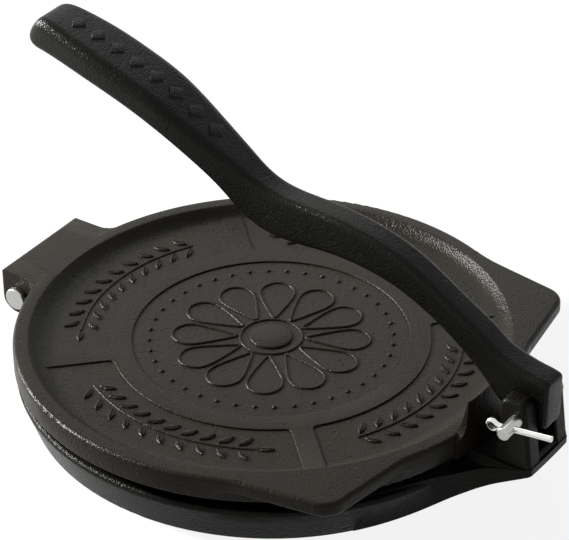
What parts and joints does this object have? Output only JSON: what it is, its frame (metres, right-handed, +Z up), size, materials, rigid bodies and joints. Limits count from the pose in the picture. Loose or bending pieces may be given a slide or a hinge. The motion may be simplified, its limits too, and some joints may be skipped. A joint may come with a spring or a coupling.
{
  "type": "tortilla press",
  "caption": "Round cast-iron dough press: a dished upper plate, hinged behind a flat base plate, is pushed down by a long curved lever pinned in front.",
  "frame": {"origin": "centre of the base plate's foot ring, on the surface it stands on", "axes": "+X from the rear hinge towards the lever's pin, +Y to the pin heads' side at the front, +Z up"},
  "size_m": [0.2612, 0.2036, 0.1405],
  "materials": {
    "base_iron": "seasoned, fine sand-cast grain",
    "plate_iron": "seasoned, fine sand-cast grain",
    "lever_iron": "seasoned, fine sand-cast grain",
    "plated_pin": "zinc plated, cut ends",
    "plated_cotter": "bright plated wire"
  },
  "bodies": {
    "base": {"base_plate": "base_iron", "pivot_pin": "plated_pin", "pivot_cotter": "plated_cotter", "hinge_pin": "plated_pin", "hinge_cotter": "plated_cotter"},
    "upper": {"top_plate": "plate_iron"},
    "lever": {"press_lever": "lever_iron"}
  },
  "joints": [
    {"name": "lever_swing", "type": "hinge", "parent": "base", "child": "lever", "pos_m": [0.1198, 0, 0.043], "axis": [0, 1, 0], "range_deg": [0, 160]},
    {"name": "plate_lift", "type": "hinge", "parent": "base", "child": "upper", "pos_m": [-0.1088, 0, 0.017], "axis": [0, -1, 0], "range_deg": [0, 16]}
  ],
  "couplings": [
    {"joint": "plate_lift", "follows": "lever_swing", "ratio": 0.1}
  ]
}
